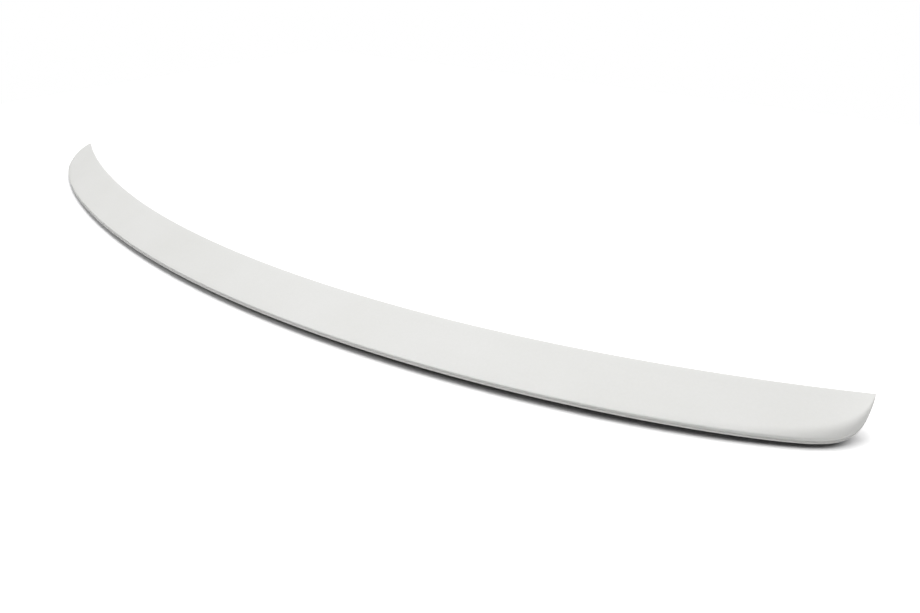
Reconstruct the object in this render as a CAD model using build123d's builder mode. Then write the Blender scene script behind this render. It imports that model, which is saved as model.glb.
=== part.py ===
# Boot lip spoiler for a car, moulded in one piece and primed for painting.
# It lies as it comes to rest on a floor: on the heel under its trailing edge, with the leading edge raised.
# Millimetres. X runs along its length, -Y points to the trailing edge and Z is up. The origin is on the floor,
# midway along the length and midway between the line of the tips and the middle of the trailing edge.
import math
import os

from build123d import *

# Leading edge: one level arc of a circle from tip to tip
LENGTH = 1200.0          # from tip to tip
LEADING_BOW = 130.0      # how far the middle stands out from the line between the tips
LEADING_HEIGHT = 30.0    # height above the floor
LEADING_THICKNESS = 2.8  # upright land of the leading edge
LEADING_ROUND = 0.8      # radius of its upper corner

# Blade: how far it reaches from the leading edge to the foot of the trailing edge, seen from above
DEPTH_MIDDLE = 51.5
DEPTH_END = 33.0

# Top face: straight from the leading edge, then an arc that rolls over, and rolls more towards the ends
ROLL_MIDDLE = 3.0        # degrees that the arc turns
ROLL_END = 55.0
ROLL_REACH_MIDDLE = 6.0  # how far before the trailing edge the arc starts
ROLL_REACH_END = 18.0

# Trailing edge: a crease that softens towards the ends, a low rim, and a bead along its foot
CREASE_MIDDLE = 0.9      # radius of the crease
CREASE_END = 2.0
RIM_MIDDLE = 3.8         # rim height, with the bead
RIM_END = 5.5
RIM_LEAN = 15.0          # degrees that the rim leans in towards its bead
BEAD_MIDDLE = 1.8        # height of the bead
BEAD_END = 1.4
BEAD_NOSE = 0.4          # height of the bead's upright nose, as a share of the bead's height
BEAD_REACH = 1.2         # how far the bead stands out from the rim

# Underside: the rim overhangs a heel, and the bonding face runs from the heel to the leading edge
FOOT_MIDDLE = 6.5        # height of the rim's foot above the floor
FOOT_END = 2.0
OVERHANG = 12.0          # reach of the rim beyond the heel
HEEL_SLOPE = 1.5         # how far the wall under the overhang slopes back
HEEL_WIDTH = 3.0         # flat strip that the spoiler rests on

# Change from the middle to the ends: a higher power keeps the middle's value for longer
SOFTENING = 6            # of roll, crease, rim and bead
TAPERING = 8             # of depth, foot and the roll's reach
ENDING = 50              # of the section as a whole, which shrinks to a point at each tip
TIP_SHARE = 0.1          # share of the full section that is left at the tip
HALF_STATIONS = 18       # sections from the middle to one tip
CROWDING = 2.4           # how closely the sections crowd towards the tips


def blend(middle, end, station, power):
    """Value that changes smoothly from the middle of the spoiler, station 0, to a tip, station 1 or -1."""
    return middle + (end - middle) * abs(station) ** power


def section_plane(edge, station):
    """Upright plane square to the leading edge, with local X towards the trailing edge and Y up."""
    place = (1 + station) / 2
    along = edge % place
    outward = Vector(along.Y, -along.X, 0)
    return Plane(edge @ place, x_dir=outward, z_dir=outward.cross(Vector(0, 0, 1)))


def blade_section(plane, station):
    """Closed section of the blade. Its origin is the leading edge, and it shrinks to that point at a tip."""
    depth = blend(DEPTH_MIDDLE, DEPTH_END, station, TAPERING)
    foot = blend(FOOT_MIDDLE, FOOT_END, station, TAPERING) - LEADING_HEIGHT
    rim = blend(RIM_MIDDLE, RIM_END, station, SOFTENING)
    bead = blend(BEAD_MIDDLE, BEAD_END, station, SOFTENING)
    roll = math.radians(blend(ROLL_MIDDLE, ROLL_END, station, SOFTENING))
    roll_reach = blend(ROLL_REACH_MIDDLE, ROLL_REACH_END, station, TAPERING)
    crease_radius = blend(CREASE_MIDDLE, CREASE_END, station, SOFTENING)
    lean = math.tan(math.radians(RIM_LEAN)) * (rim - bead)

    leading = Vector(0, 0)
    bead_foot = Vector(depth, foot)
    bead_nose = Vector(depth, foot + bead * BEAD_NOSE)
    bead_root = Vector(depth - BEAD_REACH, foot + bead)
    crease = Vector(bead_root.X + lean, foot + rim)
    heel_top = Vector(depth - OVERHANG, foot)
    heel_front = Vector(heel_top.X - HEEL_SLOPE, -LEADING_HEIGHT)
    heel_back = heel_front - Vector(HEEL_WIDTH, 0)
    leading_foot = Vector(0, -LEADING_THICKNESS)

    # The shoulder, where the roll starts, stands off the straight line so that the arc ends at the crease
    share = 1 - roll_reach / crease.length
    face_normal = Vector(-crease.Y, crease.X).normalized()
    shoulder = crease * share + face_normal * (math.tan(roll / 2) * roll_reach * share)

    with BuildSketch(plane) as section:
        with BuildLine():
            Line(leading, shoulder)
            TangentArc(shoulder, crease, tangent=shoulder)
            Polyline(crease, bead_root, bead_nose, bead_foot)
            Polyline(bead_foot, heel_top, heel_front, heel_back, leading_foot, leading)
        make_face()
        fillet(section.vertices().sort_by_distance(crease)[0], crease_radius)
        fillet(section.vertices().sort_by_distance(leading)[0], LEADING_ROUND)
        scale(by=1 - abs(station) ** ENDING)
    return section.sketch


half_length = LENGTH / 2
tip_line = (LEADING_BOW + DEPTH_MIDDLE) / 2
left_tip = Vector(-half_length, tip_line, LEADING_HEIGHT)
right_tip = Vector(half_length, tip_line, LEADING_HEIGHT)
with BuildLine() as leading_line:
    ThreePointArc(left_tip, (0, tip_line - LEADING_BOW, LEADING_HEIGHT), right_tip)

# Stations crowd towards the tips, where the section changes fastest
last_station = (1 - TIP_SHARE) ** (1 / ENDING)
to_tip = [1 - step / HALF_STATIONS for step in range(HALF_STATIONS + 1)]
right_half = [last_station * (1 - left**CROWDING) for left in to_tip]
stations = [-station for station in reversed(right_half[1:])] + right_half
sections = [blade_section(section_plane(leading_line.edge(), station), station) for station in stations]

with BuildPart() as lip_spoiler:
    loft(sections)

lip_spoiler.part.label = "lip_spoiler"

os.makedirs("parts", exist_ok=True)
export_step(lip_spoiler.part, "parts/lip_spoiler.step")
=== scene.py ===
# %% [markdown]
# # A primed boot lip spoiler
# A boot lip is a slim strip that is bonded along the rear edge of a car's boot lid. This one is a single
# polyurethane moulding in pale grey primer, lying on a white studio floor. It tips back on the heel under
# its trailing edge, so its top face looks towards the camera.
#
# The lesson makes the strip as one smooth surface, gives it a primer finish, and sets up floor, light and
# camera.

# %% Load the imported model
import math

import bpy
import numpy as np
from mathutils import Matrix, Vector


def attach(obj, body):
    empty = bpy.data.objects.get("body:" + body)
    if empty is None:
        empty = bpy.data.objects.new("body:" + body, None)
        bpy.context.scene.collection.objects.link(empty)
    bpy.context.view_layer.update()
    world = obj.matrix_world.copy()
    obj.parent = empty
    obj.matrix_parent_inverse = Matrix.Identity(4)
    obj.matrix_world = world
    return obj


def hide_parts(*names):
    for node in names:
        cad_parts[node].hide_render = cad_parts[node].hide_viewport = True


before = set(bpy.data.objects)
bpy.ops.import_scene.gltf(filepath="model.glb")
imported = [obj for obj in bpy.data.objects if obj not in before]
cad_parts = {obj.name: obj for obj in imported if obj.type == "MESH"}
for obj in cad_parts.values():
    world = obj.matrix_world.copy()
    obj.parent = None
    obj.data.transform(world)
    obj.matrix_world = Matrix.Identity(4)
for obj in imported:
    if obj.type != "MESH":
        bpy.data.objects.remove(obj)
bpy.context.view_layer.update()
NODE = "lip_spoiler"
MM = 0.001
print("Packed nodes:", len(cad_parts))

# %% [markdown]
# ## The leading edge
# The thin front edge of the real strip follows the curve of the boot lid. It could be drawn as a curve
# object by hand, but one level arc of a circle already has that shape, and a formula can be asked for its
# position and direction anywhere. A station `s` runs along it, from -1 at the left tip to 1 at the right tip.

# %% Leading edge
LENGTH = 1200 * MM            # from tip to tip
LEADING_BOW = 130 * MM        # how far the middle stands out from the line between the tips
LEADING_HEIGHT = 30 * MM      # above the floor
DEPTH = (51.5 * MM, 33 * MM)  # reach of the blade in the middle and at the tips, as in the pairs below
TIP_LINE = (LEADING_BOW + DEPTH[0]) / 2
RADIUS = ((LENGTH / 2) ** 2 + LEADING_BOW**2) / (2 * LEADING_BOW)
HALF_ANGLE = math.asin(LENGTH / 2 / RADIUS)


def outward(s):
    """Level direction from the arc's centre to the trailing edge: its angle grows evenly with s."""
    angle = s * HALF_ANGLE
    return np.stack([np.sin(angle), -np.cos(angle), np.zeros_like(s)], axis=-1)


def leading_edge(s):
    """Point on the leading edge: one radius outward from the arc's centre."""
    centre = np.array([0, TIP_LINE - LEADING_BOW + RADIUS, LEADING_HEIGHT])
    return centre + RADIUS * outward(s)


print("Radius of the leading edge in metres:", round(RADIUS, 3))

# %% [markdown]
# ## The section
# Cut across, the strip is a wedge: a top face that is straight at first and then rolls over, a crease, a low
# rim with a bead along its foot, an overhang, the heel that it rests on, and the bonding face. A moulding
# has no knife edges, so each corner of that outline is rounded later. The corners are worked out for all
# stations at once, as an array of shape (stations, corners, 2), because towards the ends the face rolls over
# more, the crease softens and the blade narrows. A power of `s` does that: the higher it is, the longer the
# middle's value holds.

# %% Section corners
LEADING_THICKNESS = 2.8 * MM
ROLL_REACH = (6 * MM, 20 * MM)         # how far before the crease the face starts to roll over
ROLL = (math.radians(3), math.radians(75))  # angle that it turns by
FOOT_HEIGHT = (6.5 * MM, 2.0 * MM)     # of the rim's foot above the floor
RIM_HEIGHT = (3.8 * MM, 5.5 * MM)      # with the bead
BEAD_HEIGHT = (1.8 * MM, 1.4 * MM)
BEAD_REACH = 1.2 * MM                  # how far it stands out from the rim
BEAD_NOSE = 0.4                        # height of its upright nose, as a share of its own
CREASE_RADIUS = (0.9 * MM, 2.0 * MM)
RIM_LEAN = math.tan(math.radians(15))  # how far the rim leans in for each metre of height
OVERHANG = 12 * MM                     # reach of the rim's foot beyond the heel
HEEL_SLOPE = 1.5 * MM
HEEL_WIDTH = 3 * MM
EDGE_RADIUS = 0.8 * MM                 # what moulding and primer leave on the other edges
BEAD_RADIUS = 0.35 * MM
SOFTENING = 6                          # power of crease, rim and bead
TAPERING = 8                           # power of depth and foot
ROLLING = 12                           # power of the roll and its reach


def blend(pair, s, power):
    """Value that changes with a power of s, from pair[0] in the middle to pair[1] at a tip."""
    return pair[0] + (pair[1] - pair[0]) * np.abs(s) ** power


def unit(vectors):
    """The same directions with length 1."""
    return vectors / np.linalg.norm(vectors, axis=-1, keepdims=True)


def roll_corner(s, crease_reach, crease_height):
    """Corner of the top face, where the tangents at the two ends of its roll meet.

    The roll is an arc from the straight part of the face to the crease. Its start stands off the line between
    leading edge and crease, by the tangent of half the roll. Both tangents are equally long, so each is the
    chord's square over twice the chord's part along the face.
    """
    crease = np.stack([crease_reach, crease_height - LEADING_HEIGHT], axis=-1)
    length = np.linalg.norm(crease, axis=-1, keepdims=True)
    normal = np.stack([-crease[:, 1], crease[:, 0]], axis=-1) / length
    reach = blend(ROLL_REACH, s, ROLLING)[:, None]
    share = 1 - reach / length
    start = crease * share + normal * np.tan(blend(ROLL, s, ROLLING) / 2)[:, None] * reach * share
    chord = crease - start
    along = unit(start)
    corner = start + along * (chord**2).sum(-1, keepdims=True) / (2 * (chord * along).sum(-1, keepdims=True))
    return corner[:, 0], corner[:, 1] + LEADING_HEIGHT


def section_corners(s):
    """Corners of the section at each station, and their radii.

    A corner is its reach from the leading edge and its height above the floor.
    """
    zero = np.zeros_like(s)
    nose = blend(DEPTH, s, TAPERING)
    foot = blend(FOOT_HEIGHT, s, TAPERING)
    bead_height = blend(BEAD_HEIGHT, s, SOFTENING)
    bead = foot + bead_height
    crease = foot + blend(RIM_HEIGHT, s, SOFTENING)
    root = nose - BEAD_REACH
    heel = nose - OVERHANG
    crease_reach = root + RIM_LEAN * (crease - bead)
    corners = [
        (zero, zero + LEADING_HEIGHT, EDGE_RADIUS),
        (*roll_corner(s, crease_reach, crease), zero),
        (crease_reach, crease, blend(CREASE_RADIUS, s, SOFTENING)),
        (root, bead, BEAD_RADIUS),
        (nose, foot + BEAD_NOSE * bead_height, BEAD_RADIUS),
        (nose, foot, BEAD_RADIUS),
        (heel, foot, EDGE_RADIUS),
        (heel - HEEL_SLOPE, zero, EDGE_RADIUS),
        (heel - HEEL_SLOPE - HEEL_WIDTH, zero, EDGE_RADIUS),
        (zero, zero + LEADING_HEIGHT - LEADING_THICKNESS, EDGE_RADIUS),
    ]
    places = np.stack([np.stack([reach, height], axis=-1) for reach, height, _ in corners], axis=1)
    radii = np.stack([radius + zero for _, _, radius in corners], axis=1)
    return places, radii


middle_corners, _ = section_corners(np.zeros(1))
print("Corners of the section in the middle, in millimetres:", (middle_corners[0] / MM).round(1).tolist())

# %% [markdown]
# ## Rounding the corners
# A bevel modifier could round a sharp mesh, but it gives every edge one width, and here the crease grows
# from about one millimetre in the middle to two at the ends. So the arcs are part of the formula: a corner
# and the two points where its arc begins and ends make a rational Bezier curve, which is an exact arc of a
# circle when the middle weight is the sine of half the corner's angle. An arc that would use up its side is
# made smaller, and the face's roll takes all of the side that the crease leaves over.

# %% Rounded section
ARC_STEPS = np.array([5, 18, 9, 5, 5, 5, 6, 5, 5, 5])      # points on each rounded corner
SIDE_STEPS = np.array([16, 0, 4, 2, 3, 5, 4, 3, 16, 3])    # points between a corner and the next
SIDE_SHARE = 0.45                                          # of a side, the most that one arc may take
ROLL_CORNER, CREASE, BEAD_FOOT, LEADING_FOOT = 1, 2, 5, 9  # places in the list of corners


def points_before(corner):
    """Number of outline points that come before a corner's arc."""
    return int(ARC_STEPS[:corner].sum() + SIDE_STEPS[:corner].sum())


def rounded_section(s):
    """Closed outline at each station: an arc at each corner, then points along the side to the next."""
    places, radii = section_corners(s)
    to_last = unit(np.roll(places, 1, axis=1) - places)
    to_next = unit(np.roll(places, -1, axis=1) - places)
    half_angle = np.arccos(np.clip((to_last * to_next).sum(-1), -1, 1)) / 2
    side_length = np.linalg.norm(np.roll(places, -1, axis=1) - places, axis=-1)
    room = np.minimum(side_length, np.roll(side_length, 1, axis=1)) * SIDE_SHARE
    cut = np.minimum(radii / np.tan(half_angle), room)
    cut[:, ROLL_CORNER] = side_length[:, ROLL_CORNER] - cut[:, CREASE]
    starts, ends = places + to_last * cut[..., None], places + to_next * cut[..., None]
    weights = np.sin(half_angle)
    outline = []
    for corner, (arc_steps, side_steps) in enumerate(zip(ARC_STEPS, SIDE_STEPS)):
        t = np.linspace(0, 1, arc_steps, endpoint=side_steps > 0)[None, :, None]
        middle = 2 * weights[:, corner, None, None] * t * (1 - t)
        shares = (1 - t) ** 2, middle, t**2
        points = starts[:, corner, None], places[:, corner, None], ends[:, corner, None]
        outline.append(sum(w * p for w, p in zip(shares, points)) / sum(shares))
        after = (corner + 1) % len(ARC_STEPS)
        t = (np.arange(1, side_steps + 1) / (side_steps + 1))[None, :, None]
        outline.append(ends[:, corner, None] * (1 - t) + starts[:, after, None] * t)
    return np.concatenate(outline, axis=1)


POINTS_AROUND = points_before(len(ARC_STEPS))
print("Points around the section:", POINTS_AROUND)

# %% [markdown]
# ## The strip
# Each end of the real strip is blunt, with its rim wrapped round to a pointed tip. Trimming a straight strip
# would leave a cut face there. Instead the whole section shrinks towards the leading edge as it nears a tip,
# very late and very fast, by one minus a high power of `s`. At the tip itself nothing is left, and all
# points of the ring become one. Rings are spaced evenly along the crease, so that the blunt ends get as many
# as their outline needs.

# %% Strip surface
ENDING = 50               # power by which the section shrinks to each tip
TIP_STATION = 0.9978      # the tips are cut back by a little over a millimetre, as a moulded point is
TIP_HEIGHT = LEADING_HEIGHT - EDGE_RADIUS
RING_SPACING = 3 * MM
FINE_STATIONS = 6001      # for measuring along the crease


def strip_points(s):
    """Rings of points: each section is shrunk, stood up on the leading edge and turned square to it."""
    edge = leading_edge(s)
    share = (1 - np.abs(s / TIP_STATION) ** ENDING)[:, None]
    outline = rounded_section(s)
    reach = outline[..., 0] * share
    rise = (outline[..., 1] - TIP_HEIGHT) * share + TIP_HEIGHT - LEADING_HEIGHT
    up = np.array([0, 0, 1.0])
    return edge[:, None] + reach[..., None] * outward(s)[:, None] + rise[..., None] * up


def even_stations():
    """Stations whose points on the crease are the same distance apart, with the two tips left out."""
    fine = TIP_STATION * np.sin(np.linspace(-math.pi / 2, math.pi / 2, FINE_STATIONS))
    crease = strip_points(fine)[:, points_before(CREASE) + ARC_STEPS[CREASE] // 2]
    steps = np.linalg.norm(np.diff(crease, axis=0), axis=1)
    travel = np.concatenate([[0], np.cumsum(steps)])
    count = int(travel[-1] / RING_SPACING)
    return np.interp(np.linspace(0, travel[-1], count)[1:-1], travel, fine)


rings = strip_points(even_stations())
print("Rings along the strip:", len(rings))

# %% [markdown]
# ## From rings to a mesh
# The rings are joined by rows of four-sided faces, and each end is closed by a fan of triangles to its tip.
# Every list is worked out as a whole array of vertex numbers. The sign of the enclosed volume tells whether
# the faces look outwards.

# %% Mesh
def tube_faces(ring_count, around):
    """Quads between neighbouring rings, and triangles from the first and last ring to the two tips."""
    grid = np.arange(ring_count * around).reshape(ring_count, around)
    beside = np.roll(grid, -1, axis=1)
    quads = np.stack([grid[:-1], grid[1:], beside[1:], beside[:-1]], axis=-1).reshape(-1, 4)
    tips = np.full((2, around), ring_count * around) + np.array([[0], [1]])
    first = np.stack([tips[0], grid[0], beside[0]], axis=-1)
    last = np.stack([tips[1], beside[-1], grid[-1]], axis=-1)
    return quads, np.concatenate([first, last])


def enclosed_volume(points, quads, triangles):
    """Sum of the signed volumes of the pyramids from the origin to each triangle."""
    halves = np.concatenate([quads[:, [0, 1, 2]], quads[:, [0, 2, 3]], triangles])
    a, b, c = (points[halves[:, corner]] for corner in range(3))
    return (a * np.cross(b, c)).sum() / 6


def mesh_object(name, points, faces):
    """Object with a smooth-shaded mesh, at the origin."""
    mesh = bpy.data.meshes.new(name)
    mesh.from_pydata(points.tolist(), [], faces)
    mesh.polygons.foreach_set("use_smooth", np.ones(len(mesh.polygons), bool))
    mesh.update()
    made = bpy.data.objects.new(name, mesh)
    bpy.context.scene.collection.objects.link(made)
    return made


tips = leading_edge(np.array([-TIP_STATION, TIP_STATION])) - np.array([0, 0, EDGE_RADIUS])
points = np.concatenate([rings.reshape(-1, 3), tips])
quads, triangles = tube_faces(*rings.shape[:2])
volume = enclosed_volume(points, quads, triangles)
if volume < 0:
    quads, triangles = quads[:, ::-1], triangles[:, ::-1]
strip = mesh_object("spoiler_strip", points, quads.tolist() + triangles.tolist())
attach(strip, "root")
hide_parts(NODE)
print("Faces:", len(strip.data.polygons))
print("Volume in cubic centimetres:", round(abs(volume) / (10 * MM) ** 3, 1))

# %% [markdown]
# ## Primer
# The strip is moulded in polyurethane and sprayed with a pale grey primer, ready for painting. A sprayed
# primer is matt to satin and almost even. What shows that it isn't a flat colour is its coat: fine droplets
# that dried into a pebbled skin, and broad, faint clouds where the passes of the spray gun overlap. Image
# textures would need a photograph, so noise at sizes in millimetres is used instead.
#
# The strip was sprayed from above, so its underside kept the dark grey of the raw moulding. That grey is
# also painted shade: it is made dark enough to deepen the shadowed gap under the rim. A second material
# would end in a hard line. A vertex attribute, 1 on the underside and 0 elsewhere, fades over the width of
# one face instead, as overspray does.

# %% Underside
underside = np.zeros(POINTS_AROUND)
underside[points_before(BEAD_FOOT) + ARC_STEPS[BEAD_FOOT] // 2:points_before(LEADING_FOOT)] = 1
# marks the raw grey underside, which is also painted shade for the gap under the rim
unsprayed_and_painted_shade = strip.data.attributes.new("unsprayed_and_painted_shade", "FLOAT", "POINT")
unsprayed_and_painted_shade.data.foreach_set("value", np.concatenate([np.tile(underside, len(rings)), np.zeros(len(tips))]))
print("Points on the underside of each ring:", int(underside.sum()))

# %% Primer
PRIMER_GREYS = ("E1E1DE", "E6E6E4")
# raw moulding, and also painted shade that deepens the gap under the rim
RAW_GREYS_AND_PAINTED_SHADE = ("383837", "434342")
GREY_PLACES = (0.3, 0.7)     # values of the pattern at which the first and the second grey are reached
CLOUD_SIZE = 90 * MM
DROPLET_SIZE = 2.5 * MM      # real droplets are about 0.5 mm across, and are drawn coarser to show at all
DROPLET_SHARE = 0.35         # of the pattern; the rest is clouds
ROUGHNESS = (0.48, 0.62)     # from satin to matt
IOR = 1.48                   # of the primer's binder
SKIN_DEPTH = 0.2 * MM
SKIN_STRENGTH = 0.06


def linear(hex_colour):
    """sRGB hex such as E6E6E4 to linear red, green, blue and alpha."""
    srgb = np.array([int(hex_colour[i:i + 2], 16) / 255 for i in (0, 2, 4)])
    value = np.where(srgb <= 0.04045, srgb / 12.92, ((srgb + 0.055) / 1.055) ** 2.4)
    return (*value.tolist(), 1.0)


def add_node(tree, kind, settings=None, **inputs):
    """Adds a node, sets its properties, and sets or links its inputs.

    An input goes by its name with spaces as underscores, or by an underscore and its number.
    """
    node = tree.nodes.new(kind)
    for name, value in (settings or {}).items():
        setattr(node, name, value)
    for name, value in inputs.items():
        socket = node.inputs[int(name[1:]) if name[1:].isdigit() else name.replace("_", " ")]
        if isinstance(value, bpy.types.NodeSocket):
            tree.links.new(value, socket)
        else:
            socket.default_value = value
    return node


def empty_tree(owner):
    """The owner's node tree with nothing in it."""
    owner.use_nodes = True
    owner.node_tree.nodes.clear()
    return owner.node_tree


def sprayed_primer():
    """Two close greys of primer in clouds and droplets, with a pebbled skin.

    Where nothing was sprayed, two dark greys of the raw moulding show instead; they are also painted shade,
    dark enough to deepen the gap under the rim.
    """
    material = bpy.data.materials.new("sprayed_primer_on_polyurethane")
    tree = empty_tree(material)
    place = add_node(tree, "ShaderNodeTexCoord").outputs["Object"]
    clouds = add_node(tree, "ShaderNodeTexNoise", Vector=place, Scale=1 / CLOUD_SIZE, Detail=3.0)
    droplets = add_node(tree, "ShaderNodeTexNoise", Vector=place, Scale=1 / DROPLET_SIZE, Detail=2.0)
    pattern = add_node(tree, "ShaderNodeMix", {"data_type": "FLOAT"}, _0=DROPLET_SHARE,
                       _2=clouds.outputs["Fac"], _3=droplets.outputs["Fac"])
    coats = []
    for greys in (PRIMER_GREYS, RAW_GREYS_AND_PAINTED_SHADE):
        ramp = add_node(tree, "ShaderNodeValToRGB", Fac=pattern.outputs[0])
        for element, position, grey in zip(ramp.color_ramp.elements, GREY_PLACES, greys):
            element.position = position
            element.color = linear(grey)
        coats.append(ramp.outputs["Color"])
    # raw grey underside, partly painted shade for the gap under the rim
    bare_and_painted_shade = add_node(tree, "ShaderNodeAttribute", {"attribute_name": "unsprayed_and_painted_shade"}).outputs["Fac"]
    colour = add_node(tree, "ShaderNodeMix", {"data_type": "RGBA"}, Factor=bare_and_painted_shade, _6=coats[0], _7=coats[1])
    roughness = add_node(tree, "ShaderNodeMapRange", Value=droplets.outputs["Fac"],
                         To_Min=ROUGHNESS[0], To_Max=ROUGHNESS[1])
    skin = add_node(tree, "ShaderNodeBump", Strength=SKIN_STRENGTH, Distance=SKIN_DEPTH,
                    Height=droplets.outputs["Fac"])
    shader = add_node(tree, "ShaderNodeBsdfPrincipled", Base_Color=colour.outputs[2], IOR=IOR,
                      Roughness=roughness.outputs["Result"], Normal=skin.outputs["Normal"])
    add_node(tree, "ShaderNodeOutputMaterial", Surface=shader.outputs["BSDF"])
    return material


strip.data.materials.append(sprayed_primer())
print("Material:", strip.data.materials[0].name)

# %% [markdown]
# ## Floor and light
# The strip lies on plain white paper. A long soft box hangs above and a little behind it, parallel to the
# strip. So the top face is lit evenly from end to end, and the raised tips, which the box also reaches from
# beyond them, throw only a faint shadow. A smaller and weaker box stands in front and to the left: it lifts
# the rim, and it is high enough to leave the gap under the rim dark. A sun lamp would be quicker to set, but
# its shadow has a hard edge, and the shadow in front of the rim fades over about a centimetre.
#
# Photographs of this kind overexpose the paper. More light would bleach the strip as well, so the paper is
# brighter to the camera alone.

# %% Floor
FLOOR_SIZE = 2.4
PAPER_WHITE = 0.98           # as it lights the strip
OVEREXPOSED_WHITE = 1.25     # as the camera sees it


def white_paper():
    """Plain white paper, with a brighter white where the ray comes from the camera."""
    material = bpy.data.materials.new("white_paper")
    tree = empty_tree(material)
    seen = add_node(tree, "ShaderNodeLightPath").outputs["Is Camera Ray"]
    paper = add_node(tree, "ShaderNodeBsdfDiffuse", Color=(*[PAPER_WHITE] * 3, 1))
    bright = add_node(tree, "ShaderNodeBsdfDiffuse", Color=(*[OVEREXPOSED_WHITE] * 3, 1))
    both = add_node(tree, "ShaderNodeMixShader", _0=seen, _1=paper.outputs[0], _2=bright.outputs[0])
    add_node(tree, "ShaderNodeOutputMaterial", Surface=both.outputs[0])
    return material


half = FLOOR_SIZE / 2
floor_corners = np.array([(-half, -half, 0), (half, -half, 0), (half, half, 0), (-half, half, 0)])
floor = mesh_object("floor", floor_corners, [(0, 1, 2, 3)])
floor.data.materials.append(white_paper())
print("Floor in metres:", FLOOR_SIZE)

# %% Light
FILL = 0.06                  # strength of the room's own light
WHITE = (1, 1, 1, 1)
OVERHEAD_PLACE = Vector((0.0, 0.3, 1.0)).normalized() * 8
OVERHEAD_SIZE = (16, 6)
OVERHEAD_WATTS = 1000
FRONT_PLACE = Vector((-2.95, -2.5, 4.6))
FRONT_SIZE = (3, 3)
FRONT_WATTS = 82


def studio_world():
    """Faint light from all sides of the room; the camera sees plain white."""
    world = bpy.data.worlds.new("soft_studio")
    tree = empty_tree(world)
    seen = add_node(tree, "ShaderNodeLightPath").outputs["Is Camera Ray"]
    room = add_node(tree, "ShaderNodeBackground", Strength=FILL, Color=WHITE)
    white = add_node(tree, "ShaderNodeBackground", Strength=1.0, Color=WHITE)
    both = add_node(tree, "ShaderNodeMixShader", _0=seen, _1=room.outputs[0], _2=white.outputs[0])
    add_node(tree, "ShaderNodeOutputWorld", Surface=both.outputs[0])
    return world


def add_soft_box(name, place, size, watts):
    """Adds a rectangular area light that faces the origin."""
    lamp = bpy.data.lights.new(name, "AREA")
    lamp.shape = "RECTANGLE"
    lamp.size, lamp.size_y = size
    lamp.energy = watts
    box = bpy.data.objects.new(name, lamp)
    box.location = place
    box.rotation_euler = (Vector((0, 0, 0)) - place).to_track_quat("-Z", "Y").to_euler()
    bpy.context.scene.collection.objects.link(box)


bpy.context.scene.world = studio_world()
add_soft_box("overhead_soft_box", OVERHEAD_PLACE, OVERHEAD_SIZE, OVERHEAD_WATTS)
add_soft_box("front_soft_box", FRONT_PLACE, FRONT_SIZE, FRONT_WATTS)
bpy.context.scene.view_settings.view_transform = "Standard"

# %% [markdown]
# ## Camera
# The photograph is taken from the right, above the strip, with a wide lens held level. Its place comes from
# the far edge, the rim and both ends in the picture.

# %% Camera
AZIMUTH = math.radians(35.44)
ELEVATION = math.radians(30.87)
DISTANCE = 0.6556
AIM = Vector((0.2260, 0.04925, 0))
PICTURE_WIDTH = 920
FOCAL_LENGTH_IN_PIXELS = 615
SENSOR_WIDTH = 36.0          # millimetres

back = Vector((
    math.sin(AZIMUTH) * math.cos(ELEVATION),
    -math.cos(AZIMUTH) * math.cos(ELEVATION),
    math.sin(ELEVATION),
))
camera = bpy.data.objects.new("camera", bpy.data.cameras.new("camera"))
camera.data.sensor_width = SENSOR_WIDTH
camera.data.lens = SENSOR_WIDTH * FOCAL_LENGTH_IN_PIXELS / PICTURE_WIDTH
camera.location = AIM + back * DISTANCE
camera.rotation_euler = (-back).to_track_quat("-Z", "Y").to_euler()
bpy.context.scene.collection.objects.link(camera)
bpy.context.scene.camera = camera
print("Lens in millimetres:", round(camera.data.lens, 2))
